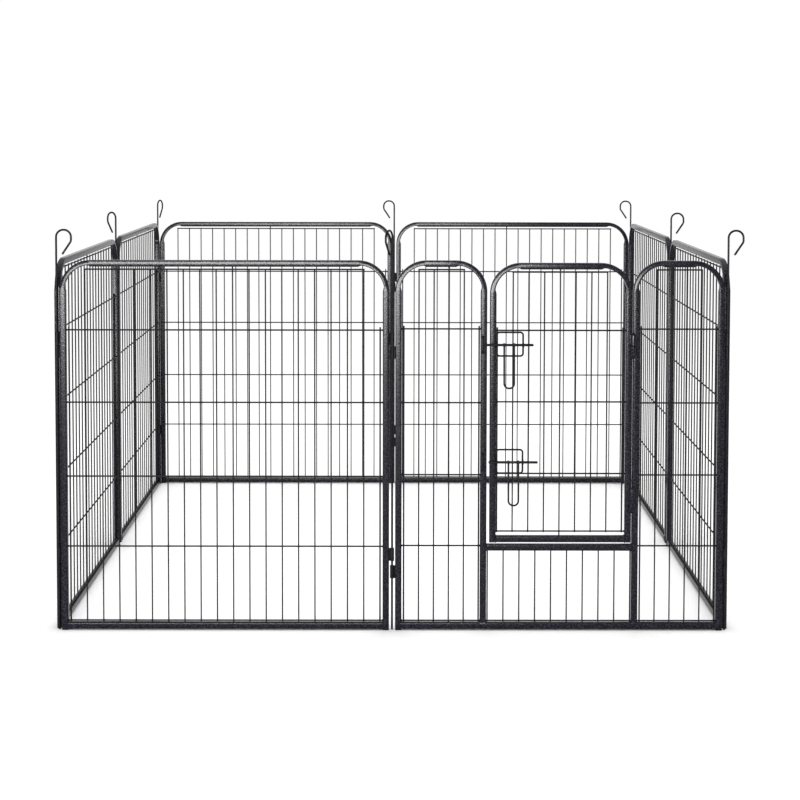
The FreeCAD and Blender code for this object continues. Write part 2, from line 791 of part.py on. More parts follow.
def build_bolts():
    spot = at_pitch(0, -1, 0)
    pattern = handle()
    for name, tip, height in (("lower", size.bolt_tip_low, size.bolt_low),
                              ("upper", size.bolt_tip_high, size.bolt_high)):
        subpart(name + "_bolt", [bolt(tip, height)], spot)
        hang = Vector((tip + size.handle_offset).value, -size.bolt_standoff.value, height.value)
        lean = Rotation(Vector(1, 0, 0), -size.handle_tilt.value)
        subpart(name + "_bolt_handle", [pattern], spot * Placement(hang, lean))


build_plain_panels()
build_pins()
build_gate()
build_door()
build_bolts()
document.recompute()


def check_model():
    for feature in document.Objects:
        if "Invalid" in feature.State or "Error" in feature.State:
            raise RuntimeError("%s failed: %s" % (feature.Label, feature.getStatusString()))
    for feature in subparts:
        shape = feature.Shape
        if shape.isNull() or not shape.isValid() or not shape.Solids:
            raise RuntimeError("%s has no valid solid" % feature.Label)


check_model()
os.makedirs("parts", exist_ok=True)
for feature in subparts:
    feature.Shape.exportStep("parts/%s.step" % feature.Label)
print("wrote %d sub-parts" % len(subparts))
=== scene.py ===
"""The looks of a folding pet playpen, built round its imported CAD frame.

Every visible piece is skinned here in mesh code and stands for one CAD node.  Sizes
are the CAD part's own, in millimetres, and each panel is drawn in its own frame:
+X along the panel from its first hinge pin, the outer face towards -Y, the floor at
z = 0.  Panels are then placed by the boxes of their CAD hoops.
"""

import json
import math
import random

import bmesh
import bpy
from mathutils import Matrix, Quaternion, Vector

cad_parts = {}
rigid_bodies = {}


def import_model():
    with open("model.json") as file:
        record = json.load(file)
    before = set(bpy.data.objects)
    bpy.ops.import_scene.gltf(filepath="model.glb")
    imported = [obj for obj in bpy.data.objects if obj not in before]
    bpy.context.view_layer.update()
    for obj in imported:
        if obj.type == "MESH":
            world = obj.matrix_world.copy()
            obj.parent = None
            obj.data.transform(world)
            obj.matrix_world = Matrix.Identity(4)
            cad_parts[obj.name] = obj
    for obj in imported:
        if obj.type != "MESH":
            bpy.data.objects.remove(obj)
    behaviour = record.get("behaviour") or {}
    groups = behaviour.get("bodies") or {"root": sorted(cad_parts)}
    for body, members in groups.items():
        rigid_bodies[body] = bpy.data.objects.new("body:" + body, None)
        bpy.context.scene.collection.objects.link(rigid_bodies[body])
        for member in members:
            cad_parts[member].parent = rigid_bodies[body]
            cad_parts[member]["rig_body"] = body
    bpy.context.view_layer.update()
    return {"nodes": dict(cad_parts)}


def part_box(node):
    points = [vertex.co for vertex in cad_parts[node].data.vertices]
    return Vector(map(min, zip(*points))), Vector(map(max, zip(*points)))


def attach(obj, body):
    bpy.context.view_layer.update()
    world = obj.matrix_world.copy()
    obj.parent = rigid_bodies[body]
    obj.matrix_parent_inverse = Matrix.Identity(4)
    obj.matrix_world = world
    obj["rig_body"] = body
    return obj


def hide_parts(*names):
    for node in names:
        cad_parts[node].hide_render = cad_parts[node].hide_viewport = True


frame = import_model()

MM = 0.001

# Tube frames
PITCH = 722.0
POST_GAP = 13.0
TUBE = 14.0
TUBE_ROUND = 2.5
BEND_RADIUS = 60.0
FOOT = 2.5
HOOP_TOP = 804.0
BEND_SQUEEZE = 3.0
BEND_DENT = 0.7
BEND_NARROWING = 0.16
BEND_SPREAD = 0.03
BEND_STEPS = 22
# The degrees in which the press's mark fades out at the post's and at the top's end
BEND_EASE_LOW = 12
BEND_EASE_HIGH = 7

# Welded wires
MESH_WIRE = 3.0
BORDER_WIRE = 3.5
WELD_BITE = 0.3
# The first upright, the spacing and the number of uprights of each grid
PANEL_WIRES = (26.0, 35.26, 20)
SECTION_WIRES = (25.0, 32.4, 6)
APRON_WIRES = (206.4, 34.36, 10)
DOOR_WIRES = (226.0, 33.8, 9)
# The cross wires above the lowest one
PANEL_ROWS = (182.0, 335.0, 496.0, 653.0)
GATE_ROWS = (184.0, 339.0, 496.0, 656.0)
DOOR_ROWS = (342.0, 498.0, 653.0)
TOP_WIRE_DROP = 20.0
BORDER_RISE = 7.0
BOTTOM_WIRE_LIFT = 3.0

# Welds: each bead's radius, how a bead ripples from pass to pass, and the drops of
# metal that hold a cross wire to a post, two wires together, and a wire to the frame
TUBE_BEAD = 1.15
MITRE_BEAD = 0.9
KNUCKLE_BEAD = 1.0
LEAF_EDGE_BEAD = 1.5
LEAF_END_BEAD = 1.2
KEEPER_BEAD = 1.2
GUIDE_BEAD = 1.0
BEAD_PASS = 1.1
BEAD_RIPPLE = (1.06, 0.9)
BEAD_UNEVENNESS = (0.82, 1.12)
BEAD_END = 0.4
BEAD_STANDOFF = 0.2
MITRE_SEAM = (2.0, 12.0)
POST_DROP = (1.8, 2.7, 2.5)
CROSSING_DROP = (2.2, 1.1, 2.2)
FRAME_DROP = (2.1, 2.1, 1.4)

# Gate and door
SECTION_WIDTH = 197.5
SILL = 174.5
DOOR_LEFT = 210.0
DOOR_WIDTH = 306.5
DOOR_BOTTOM = 193.0
DOOR_TOP = 799.0
DOOR_WIRE_LIFT = 9.0

# Hinge pins and knuckles
PIN = 4.5
PIN_CROWN = 868.75
LOOP_RADIUS = 16.0
LOOP_SIDE = 5.0
LOOP_TUCK = 10.0
LOOP_END = (13.5, 36.0)
KNUCKLE = 9.0
KNUCKLE_BORE = 5.0
KNUCKLE_LENGTH = 28.0
KNUCKLE_WEB = 3.0
FIRST_KNUCKLES = (113.0, 591.0)
LAST_KNUCKLES = (151.0, 621.0)

# Door hinges
BARREL = 12.0
BARREL_LENGTH = 28.0
BARREL_GAP = 0.5
HINGE_HEIGHTS = (259.0, 593.0)
HINGE_PIN = 3.0
WASHER = 4.9
LEAF = 3.0
LEAF_REACH = 7.5
LEAF_RISE = 6.0
LEAF_DROP = 5.0

# Latches
LATCH_WIRE = 4.0
BOLT = 5.5
BOLT_LENGTH = 106.0
BOLT_STANDOFF = 12.0
# The tip and the height of each bolt
BOLTS = {"lower": (207.5, 369.0), "upper": (197.3, 623.0)}
HANDLE_OFFSET = 43.0
HANDLE_WIDTH = 21.5
HANDLE_DROP = 95.0
HANDLE_TILT = 3.2
EYE = 8.1
EYE_BORE = 5.7
EYE_LENGTH = 4.6
GUIDE_LEFT = 224.5
GUIDE_WIDTH = 56.5
GUIDE_HEIGHT = 51.0
GUIDE_LIFT = 1.5
GUIDE_CORNER = 6.0
GUIDE_SLACK = 0.15
GUIDE_TAIL = 5.0
GUIDE_SEAM_RISE = 13.0
GUIDE_SEAM_INSET = 5.0
KEEPER_PLACE = 194.5
KEEPER_REACH = 17.0
KEEPER_SLACK = 0.45
KEEPER_CORNER = 5.0

half_tube = TUBE / 2
half_gap = POST_GAP / 2
last_face = PITCH - half_gap
first_inner = half_gap + TUBE
last_inner = last_face - TUBE
rail_top = FOOT + TUBE
bottom_wire = rail_top + BOTTOM_WIRE_LIFT
left_end = half_gap + SECTION_WIDTH
right_end = last_face - SECTION_WIDTH
door_right = DOOR_LEFT + DOOR_WIDTH
hinge_x = (door_right + right_end) / 2
leaf_clear = (right_end - door_right) / 2
barrel_standoff = half_tube + BARREL / 2

# The plain panels and the way each runs from its first pin, in degrees
PLAIN_PANELS = {
    "front_left": 0,
    "right_front": 90,
    "right_rear": 90,
    "rear_right": 180,
    "rear_left": 180,
    "left_rear": 270,
    "left_front": 270,
}
# Where each pin stands, counted in pitches from the middle of the pen, and the way
# its loop points in degrees
PINS = {
    "front_left": (-1, -1, 0),
    "front_center": (0, -1, 244),
    "front_right": (1, -1, 0),
    "right_middle": (1, 0, 0),
    "rear_right": (1, 1, 180),
    "rear_center": (0, 1, 180),
    "rear_left": (-1, 1, 72),
    "left_middle": (-1, 0, 140),
}

X = Vector((1, 0, 0))
Y = Vector((0, 1, 0))
Z = Vector((0, 0, 1))

SHARP_ANGLE = math.radians(38)


# Skins

class Skin:
    """The vertices and faces of one piece, in millimetres."""

    def __init__(self):
        self.points = []
        self.faces = []

    def loft(self, rings, closed=False):
        """Join a run of rings of equal length, with a cap on each open end."""
        start = len(self.points)
        sides = len(rings[0])
        for ring in rings:
            self.points.extend(ring)
        count = len(rings)
        for row in range(count if closed else count - 1):
            here = start + row * sides
            onward = start + (row + 1) % count * sides
            for side in range(sides):
                after = (side + 1) % sides
                self.faces.append((here + side, here + after, onward + after, onward + side))
        if not closed:
            last = start + (count - 1) * sides
            self.faces.append(tuple(start + side for side in reversed(range(sides))))
            self.faces.append(tuple(last + side for side in range(sides)))

    def mesh(self, name):
        mesh = bpy.data.meshes.new(name)
        mesh.from_pydata([point * MM for point in self.points], [], self.faces)
        work = bmesh.new()
        work.from_mesh(mesh)
        bmesh.ops.recalc_face_normals(work, faces=work.faces)
        work.to_mesh(mesh)
        work.free()
        mesh.polygons.foreach_set("use_smooth", [True] * len(mesh.polygons))
        mesh.set_sharp_from_angle(angle=SHARP_ANGLE)
        return mesh


def across(direction):
    """Two unit vectors square to a direction and to each other."""
    helper = Y if abs(direction.dot(Y)) < 0.9 else X
    first = helper.cross(direction).normalized()
    return first, direction.cross(first)


def ring(centre, first, second, radius, sides):
    step = 2 * math.pi / sides
    return [centre + (first * math.cos(step * number) + second * math.sin(step * number)) * radius
            for number in range(sides)]


def turned(skin, start, axis, profile, sides=16, hollow=False):
    """A turned shape; its profile is (distance along the axis, radius)."""
    first, second = across(axis)
    rings = [ring(start + axis * along, first, second, radius, sides)
             for along, radius in profile]
    skin.loft(rings, closed=hollow)


def rod(skin, start, end, diameter, sides=10, edge=0.35):
    """A straight round bar with broken edges."""
    length = (end - start).length
    radius = diameter / 2
    turned(skin, start, (end - start).normalized(),
           [(0, radius - edge), (edge, radius), (length - edge, radius), (length, radius - edge)],
           sides)


def wire_along(skin, line, radius, sides=12, closed=False):
    """A round wire swept along a line, its section turned as little as possible.

    The radius is a number, or a function of the share of the way along the line.
    """
    count = len(line)
    rings = []
    side = None
    for number, point in enumerate(line):
        before = line[number - 1] if closed or number else point
        after = line[(number + 1) % count] if closed or number < count - 1 else point
        direction = (after - before).normalized()
        if side is None:
            side = across(direction)[0]
        side = (side - direction * side.dot(direction)).normalized()
        size = radius(number / count) if callable(radius) else radius
        rings.append(ring(point, side, direction.cross(side), size, sides))
    skin.loft(rings, closed)


def rounded_line(corners, steps=9):
    """Points along straight runs whose corners are rounded off.

    Each corner is (point, radius); the two ends have no radius.
    """
    points = [corners[0][0]]
    for before, here, after in zip(corners, corners[1:], corners[2:]):
        corner, radius = here
        back = (before[0] - corner).normalized()
        onward = (after[0] - corner).normalized()
        half = back.angle(onward) / 2
        reach = radius / math.tan(half)
        middle = corner + (back + onward).normalized() * (radius / math.sin(half))
        start = corner + back * reach - middle
        finish = corner + onward * reach - middle
        swing = start.rotation_difference(finish)
        for step in range(steps + 1):
            turn = Quaternion(swing.axis, swing.angle * step / steps)
            points.append(middle + turn @ start)
    points.append(corners[-1][0])
    return points


def blob(skin, centre, sizes, chance, sides=8):
    """A small uneven drop of weld metal."""
    rows = []
    for row in range(1, 5):
        tilt = math.pi * row / 5
        rows.append([centre + Vector((
            sizes[0] * math.sin(tilt) * math.cos(turn) * chance.uniform(0.9, 1.1),
            sizes[1] * math.sin(tilt) * math.sin(turn) * chance.uniform(0.9, 1.1),
            sizes[2] * math.cos(tilt),
        )) for turn in (2 * math.pi * side / sides for side in range(sides))])
    skin.loft(rows)


def bead(skin, line, radius, chance, closed=False):
    """A weld bead along a line, with the ripples of its passes."""
    length = sum((b - a).length for a, b in zip(line, line[1:]))
    steps = max(8, int(length / BEAD_PASS))
    spots = []
    for step in range(steps if closed else steps + 1):
        share = step / steps * (len(line) if closed else len(line) - 1)
        number = min(int(share), len(line) - (1 if closed else 2))
        spots.append(line[number].lerp(line[(number + 1) % len(line)], share - number))
    sizes = [radius * chance.uniform(*BEAD_UNEVENNESS) * BEAD_RIPPLE[step % 2]
             for step in range(len(spots))]
    if not closed:
        sizes[0] = sizes[-1] = radius * BEAD_END
    wire_along(skin, spots, lambda share: sizes[round(share * len(spots))], 7, closed)


# Square tube

def rounded_square(half, corner, steps=4):
    """The outline of a square with rounded corners, about its own middle."""
    inner = half - corner
    outline = []
    for number, (across_x, across_y) in enumerate(((1, 1), (-1, 1), (-1, -1), (1, -1))):
        for step in range(steps + 1):
            turn = math.radians(90 * number + 90 * step / steps)
            outline.append((across_x * inner + corner * math.cos(turn),
                            across_y * inner + corner * math.sin(turn)))
    return outline


SECTION = rounded_square(half_tube, TUBE_ROUND)


def tube_ring(point, outward, flat=0.0):
    """The tube's section at a point of its line.

    In a bend the press has flattened it: the inner wall is pushed out and dented,
    and the outer wall is drawn narrower than the inner one.
    """
    result = []
    for out, front in SECTION:
        inside = 0.5 - out / TUBE
        dent = BEND_DENT * inside ** 3 * (1 - (front / half_tube) ** 2)
        out += flat * (BEND_SQUEEZE * inside + dent)
        front *= 1 + flat * (BEND_SPREAD * inside - BEND_NARROWING * (1 - inside) ** 1.5)
        result.append(point + outward * out - Y * front)
    return result


def smooth(share):
    share = min(max(share, 0.0), 1.0)
    return share * share * (3 - 2 * share)


def hoop(skin, left, right, bottom, top, mitre=None, left_rise=0.0, right_rise=0.0):
    """An inverted U of square tube between two outer faces.

    The mitre names the side whose foot is cut at 45 degrees, and a rise lifts a foot.
    """
    start_x = left + half_tube
    end_x = right - half_tube
    line_z = top - half_tube
    rings = [tube_ring(Vector((start_x, 0, bottom + left_rise)), -X)]
    if mitre == "left":
        rings[0] = [Vector((p.x, p.y, bottom + p.x - left)) for p in rings[0]]
    for side, middle_x in ((-1, start_x + BEND_RADIUS), (1, end_x - BEND_RADIUS)):
        middle = Vector((middle_x, 0, line_z - BEND_RADIUS))
        for step in range(BEND_STEPS + 1):
            lean = 90 * step / BEND_STEPS if side < 0 else 90 - 90 * step / BEND_STEPS
            outward = Vector((side * math.cos(math.radians(lean)), 0,
                              math.sin(math.radians(lean))))
            flat = smooth(lean / BEND_EASE_LOW) * smooth((90 - lean) / BEND_EASE_HIGH)
            rings.append(tube_ring(middle + outward * BEND_RADIUS, outward, flat))
    rings.append(tube_ring(Vector((end_x, 0, bottom + right_rise)), X))
    if mitre == "right":
        rings[-1] = [Vector((p.x, p.y, bottom + right - p.x)) for p in rings[-1]]
    skin.loft(rings)


def rail(skin, left, right, bottom, mitred=False):
    """A straight length of the tube along X, its ends square or mitred."""
    middle = bottom + half_tube
    rings = [tube_ring(Vector((x, 0, middle)), Z) for x in (left, right)]
    if mitred:
        rings[0] = [Vector((left + p.z - bottom, p.y, p.z)) for p in rings[0]]
        rings[1] = [Vector((right - p.z + bottom, p.y, p.z)) for p in rings[1]]
    skin.loft(rings)


WELD_OUTLINE = rounded_square(half_tube + BEAD_STANDOFF, TUBE_ROUND)


def butt_weld(skin, x, bottom, chance):
    """The bead round a rail's end where it meets a post's face at x."""
    middle = bottom + half_tube
    line = [Vector((x, across_y, middle + across_z)) for across_y, across_z in WELD_OUTLINE]
    bead(skin, line, TUBE_BEAD, chance, closed=True)


def stand_weld(skin, x, z, chance):
    """The bead round a post's foot where it stands on a rail."""
    line = [Vector((x + across_x, across_y, z)) for across_x, across_y in WELD_OUTLINE]
    bead(skin, line, TUBE_BEAD, chance, closed=True)


# Wire grids

def upright(skin, x, bottom, top, diameter):
    y = WELD_BITE - diameter / 2
    rod(skin, Vector((x, y, bottom)), Vector((x, y, top)), diameter)


def cross_wire(skin, z, left, right):
    y = BORDER_WIRE / 2
    rod(skin, Vector((left, y, z)), Vector((right, y, z)), BORDER_WIRE)


def grid(skin, wires, rows, posts, top_wire, reach, chance):
    """A welded grid, with upright wires in front of its cross wires.

    The rows run from post to post.  The outermost uprights are heavier and end just
    above the highest row, the middle one reaches the frame, and the others run up to
    a top wire of their own.
    """
    first, spacing, count = wires
    left, right = posts
    places = [first + spacing * number for number in range(count)]
    for row in rows:
        cross_wire(skin, row, left, right)
        for x in (left, right):
            blob(skin, Vector((x, BORDER_WIRE / 2, row)), POST_DROP, chance)
    overhang = BORDER_WIRE / 2
    cross_wire(skin, top_wire, places[1] - overhang, places[-2] + overhang)
    floor = rows[0] - overhang
    border_top = rows[-1] + BORDER_RISE
    for number, x in enumerate(places):
        border = number in (0, count - 1)
        if border:
            upright(skin, x, floor, border_top, BORDER_WIRE)
        elif number == count // 2:
            upright(skin, x, reach[0], reach[1], MESH_WIRE)
            blob(skin, Vector((x, -1, reach[1])), FRAME_DROP, chance)
        else:
            upright(skin, x, floor, top_wire + overhang, MESH_WIRE)
        for row in rows if border else (*rows, top_wire):
            blob(skin, Vector((x, WELD_BITE / 2, row)), CROSSING_DROP, chance)


# Fittings

def sleeve(skin, start, axis, diameter, bore_diameter, length, bore_edge):
    """A short tube with broken edges."""
    outer = diameter / 2
    bore = bore_diameter / 2
    edge = 0.5
    turned(skin, start, axis, [
        (0, bore + bore_edge), (0, outer - edge), (edge, outer), (length - edge, outer),
        (length, outer - edge), (length, bore + bore_edge), (length - bore_edge, bore),
        (bore_edge, bore),
    ], 24, hollow=True)


def knuckle(skin, pin_x, face, bottom, chance):
    """A short tube round a hinge pin, with its web and welds to its own post."""
    sleeve(skin, Vector((pin_x, 0, bottom)), Z, KNUCKLE, KNUCKLE_BORE, KNUCKLE_LENGTH, 0.3)
    outer = KNUCKLE / 2
    length = KNUCKLE_LENGTH
    toward = 1 if face > pin_x else -1
    near = pin_x + toward * (outer - 0.6)
    low = bottom + 0.3
    high = bottom + length - 0.3
    half_web = KNUCKLE_WEB / 2
    outline = [(near, -half_web), (face, -half_web - 0.4), (face, half_web + 0.4), (near, half_web)]
    skin.loft([[Vector((x, y, z)) for x, y in outline] for z in (low, high)])
    for side in (-1, 1):
        seam = [Vector((face - toward * 0.2, side * (half_web + 0.5), z))
                for z in (low + 1, high - 1)]
        bead(skin, seam, KNUCKLE_BEAD, chance)


def knuckles(skin, chance):
    for bottom in FIRST_KNUCKLES:
        knuckle(skin, 0, half_gap, bottom, chance)
    for bottom in LAST_KNUCKLES:
        knuckle(skin, PITCH, last_face, bottom, chance)


def end_cap(skin, x):
    """The moulded cap under a post."""
    rings = []
    for z, inset in ((0, 0.9), (0.5, 0.2), (1.0, 0.0), (FOOT - 0.3, 0.0), (FOOT, 0.3)):
        outline = rounded_square(half_tube - inset, TUBE_ROUND)
        rings.append([Vector((x + a, b, z)) for a, b in outline])
    skin.loft(rings)


def hinge_pin(skin):
    """A straight rod whose top is bent into an open finger loop towards +X."""
    side = LOOP_RADIUS * 2
    centre = PIN_CROWN - LOOP_RADIUS
    tuck = centre - LOOP_SIDE - LOOP_TUCK / 3
    nearly_round = LOOP_RADIUS - 0.5
    line = rounded_line([
        (Vector((0, 0, 1)), None),
        (Vector((0, 0, PIN_CROWN)), nearly_round),
        (Vector((side, 0, PIN_CROWN)), nearly_round),
        (Vector((side, 0, tuck)), LOOP_TUCK),
        (Vector((LOOP_END[0], 0, centre - LOOP_END[1])), None),
    ], steps=14)
    radius = PIN / 2
    wire_along(skin, line, radius, 16)
    turned(skin, Vector((0, 0, 0)), Z, [(0, radius - 1.1), (0.5, radius - 0.3), (1.2, radius)], 16)
    end_way = (line[-1] - line[-2]).normalized()
    turned(skin, line[-1] - end_way * 0.2, end_way,
           [(0, radius), (0.5, radius - 0.15), (0.9, radius - 0.7)], 16)


def hinge_half(skin, bottom, upper, chance):
    """Half of a bullet hinge: a domed barrel with a welded leaf.

    The lower half also carries the pin, and the washer that parts the barrels.
    """
    radius = BARREL / 2
    dome = [(radius * (1 - math.sin(math.radians(tilt))), radius * math.cos(math.radians(tilt)))
            for tilt in (80, 65, 48, 32, 16, 0)]
    joint = [(BARREL_LENGTH - 0.8, radius), (BARREL_LENGTH, radius - 0.8)]
    side = -1 if upper else 1
    near = hinge_x + side * leaf_clear
    far = hinge_x + side * LEAF_REACH
    base = bottom + BARREL_LENGTH + BARREL_GAP if upper else bottom
    foot = Vector((hinge_x, -barrel_standoff, base))
    head = foot + Z * BARREL_LENGTH
    if upper:
        turned(skin, head, -Z, dome + joint, 24)
    else:
        turned(skin, foot, Z, dome + joint, 24)
        turned(skin, head - Z, Z, [(0, HINGE_PIN), (14, HINGE_PIN), (15, HINGE_PIN - 0.6)], 16)
        turned(skin, head, Z, [(0, WASHER - 0.3), (0.08, WASHER), (0.36, WASHER),
                               (0.44, WASHER - 0.3)], 20)
    face = -half_tube
    low = base + LEAF_RISE
    high = base + BARREL_LENGTH - LEAF_DROP
    outline = [(near, face), (far, face), (far - side * 0.6, face - LEAF * 0.75),
               (hinge_x + side * 3.5, face - LEAF), (near, face - LEAF)]
    skin.loft([[Vector((x, y, z)) for x, y in outline] for z in (low, high)])
    bead(skin, [Vector((far, face - 0.4, low + 0.5)), Vector((far, face - 0.4, high - 0.5))],
         LEAF_EDGE_BEAD, chance)
    for z in (low, high):
        start = hinge_x + side * (leaf_clear + 1.2)
        bead(skin, [Vector((start, face - 0.7, z)), Vector((far - side, face - 0.7, z))],
             LEAF_END_BEAD, chance)


def keeper(skin, bolt_z, chance):
    """A wire staple on the gate post that the bolt slides behind."""
    face = -half_tube
    front = -(BOLT_STANDOFF + BOLT / 2 + LATCH_WIRE / 2 + KEEPER_SLACK)
    low = bolt_z - KEEPER_REACH
    high = bolt_z + KEEPER_REACH
    line = rounded_line([
        (Vector((KEEPER_PLACE, face + 0.5, low)), None),
        (Vector((KEEPER_PLACE, front, low)), KEEPER_CORNER),
        (Vector((KEEPER_PLACE, front, high)), KEEPER_CORNER),
        (Vector((KEEPER_PLACE, face + 0.5, high)), None),
    ])
    wire_along(skin, line, LATCH_WIRE / 2)
    for z in (low, high):
        collar = ring(Vector((KEEPER_PLACE, face - 0.3, z)), X, Z, LATCH_WIRE / 2 + 0.5, 14)
        bead(skin, collar, KEEPER_BEAD, chance, closed=True)


def latch_guide(skin, bolt_z, chance):
    """A wire rectangle on the door's post that the bolt slides through.

    A ring in the far side bar holds the bolt. The near bar passes in front of the
    bolt and is welded to the post above and below it.
    """
    radius = LATCH_WIRE / 2
    plane = -(half_tube + radius)
    axis_y = -BOLT_STANDOFF
    coil = BOLT / 2 + GUIDE_SLACK + radius
    left = GUIDE_LEFT
    right = GUIDE_LEFT + GUIDE_WIDTH
    low = bolt_z + GUIDE_LIFT - GUIDE_HEIGHT / 2
    high = low + GUIDE_HEIGHT

    # The near bar, from its middle up, bends round the front of the bolt.
    near = [Vector((left, axis_y - coil * math.sin(math.radians(turn)),
                    bolt_z - coil * math.cos(math.radians(turn))))
            for turn in range(90, 151, 12)]
    near.append(Vector((left, plane - 0.6, bolt_z + coil + 1.6)))
    near.append(Vector((left, plane, bolt_z + coil + 4)))
    # Both halves of the far bar end inside the ring that the bolt runs through.
    meet = math.sqrt(coil ** 2 - (plane - axis_y) ** 2)
    over = rounded_line([
        (Vector((left, plane, bolt_z + coil + GUIDE_TAIL)), None),
        (Vector((left, plane, high)), GUIDE_CORNER),
        (Vector((right, plane, high)), GUIDE_CORNER),
        (Vector((right, plane, bolt_z + meet)), None),
    ])
    under = rounded_line([
        (Vector((right, plane, bolt_z - meet)), None),
        (Vector((right, plane, low)), GUIDE_CORNER),
        (Vector((left, plane, low)), GUIDE_CORNER),
        (Vector((left, plane, bolt_z - coil - GUIDE_TAIL)), None),
    ])
    mirrored = [Vector((p.x, p.y, 2 * bolt_z - p.z)) for p in reversed(near[1:])]
    wire_along(skin, under + mirrored + near + over, radius)
    wire_along(skin, ring(Vector((right, axis_y, bolt_z)), Y, Z, coil, 28), radius, closed=True)
    for side in (-1, 1):
        blob(skin, Vector((right, plane - 0.3, bolt_z + side * (meet + 2))), (2.3, 2.1, 1.8), chance)
    for z in (high - GUIDE_SEAM_INSET, bolt_z + GUIDE_SEAM_RISE,
              bolt_z - GUIDE_SEAM_RISE, low + GUIDE_SEAM_INSET):
        for side in (-1, 1):
            seam = [Vector((left + side * 1.9, -half_tube - 0.5, z + step)) for step in (-3, 3)]
            bead(skin, seam, GUIDE_BEAD, chance)


def bolt(skin, tip, bolt_z):
    radius = BOLT / 2
    turned(skin, Vector((tip, -BOLT_STANDOFF, bolt_z)), X, [
        (0, radius - 1.1), (0.35, radius - 0.5), (1.0, radius - 0.1), (1.6, radius),
        (BOLT_LENGTH - 1.6, radius), (BOLT_LENGTH - 1.0, radius - 0.1),
        (BOLT_LENGTH - 0.35, radius - 0.5), (BOLT_LENGTH, radius - 1.1),
    ], 20)


def handle(skin):
    """A U of wire with an eye at the top of each leg, hung from the X axis."""
    radius = LATCH_WIRE / 2
    top = -EYE / 2 + 0.5
    bottom = -(HANDLE_DROP - radius)
    nearly_round = HANDLE_WIDTH / 2 - 0.5
    line = rounded_line([
        (Vector((0, 0, top)), None),
        (Vector((0, 0, bottom)), nearly_round),
        (Vector((HANDLE_WIDTH, 0, bottom)), nearly_round),
        (Vector((HANDLE_WIDTH, 0, top)), None),
    ], steps=14)
    wire_along(skin, line, radius, 14)
    for x in (0, HANDLE_WIDTH):
        sleeve(skin, Vector((x - EYE_LENGTH / 2, 0, 0)), X, EYE, EYE_BORE, EYE_LENGTH, 0.2)


# Finishes

def node_tree(name):
    material = bpy.data.materials.new(name)
    material.use_nodes = True
    tree = material.node_tree
    return material, tree, tree.nodes["Principled BSDF"]


def add_node(tree, kind, **inputs):
    node = tree.nodes.new(kind)
    for name, value in inputs.items():
        node.inputs[name].default_value = value
    return node


def colour_ramp(tree, source, stops):
    ramp = tree.nodes.new("ShaderNodeValToRGB")
    elements = ramp.color_ramp.elements
    elements[0].position, elements[0].color = stops[0][0], (*stops[0][1], 1)
    elements[1].position, elements[1].color = stops[-1][0], (*stops[-1][1], 1)
    for position, colour in stops[1:-1]:
        elements.new(position).color = (*colour, 1)
    tree.links.new(source, ramp.inputs["Fac"])
    return ramp.outputs["Color"]


def mapped(tree, low, high, source):
    """Stretch a 0 to 1 pattern to a range of roughness."""
    node = add_node(tree, "ShaderNodeMapRange")
    node.inputs["To Min"].default_value = low
    node.inputs["To Max"].default_value = high
    tree.links.new(source, node.inputs["Value"])
    return node.outputs["Result"]


def hammered_paint(name):
    """Charcoal hammered enamel: dark dimples in a web of silvery flake."""
    material, tree, shader = node_tree(name)
    links = tree.links
    place = add_node(tree, "ShaderNodeTexCoord").outputs["Object"]
    drift = add_node(tree, "ShaderNodeTexNoise", Scale=260.0, Detail=2.0)
    links.new(place, drift.inputs["Vector"])
    shifted = add_node(tree, "ShaderNodeMixRGB", Fac=0.004)
    shifted.blend_type = "ADD"
    links.new(place, shifted.inputs["Color1"])
    links.new(drift.outputs["Color"], shifted.inputs["Color2"])
    cells = add_node(tree, "ShaderNodeTexVoronoi", Scale=330.0)
    cells.feature = "SMOOTH_F1"
    cells.inputs["Smoothness"].default_value = 0.5
    links.new(shifted.outputs["Color"], cells.inputs["Vector"])
    flake = add_node(tree, "ShaderNodeTexNoise", Scale=1900.0, Detail=3.0, Roughness=0.65)
    links.new(place, flake.inputs["Vector"])
    blend = add_node(tree, "ShaderNodeMixRGB", Fac=0.35)
    links.new(cells.outputs["Distance"], blend.inputs["Color1"])
    links.new(flake.outputs["Fac"], blend.inputs["Color2"])
    colour = colour_ramp(tree, blend.outputs["Color"], [
        (0.25, (0.0007, 0.0007, 0.0012)),
        (0.46, (0.0018, 0.0017, 0.0027)),
        (0.66, (0.0120, 0.0113, 0.0165)),
    ])
    links.new(colour, shader.inputs["Base Color"])
    links.new(mapped(tree, 0.13, 0.24, flake.outputs["Fac"]), shader.inputs["Roughness"])
    shader.inputs["Specular IOR Level"].default_value = 0.1
    bump = add_node(tree, "ShaderNodeBump", Strength=0.22, Distance=0.0004)
    links.new(cells.outputs["Distance"], bump.inputs["Height"])
    links.new(bump.outputs["Normal"], shader.inputs["Normal"])
    return material


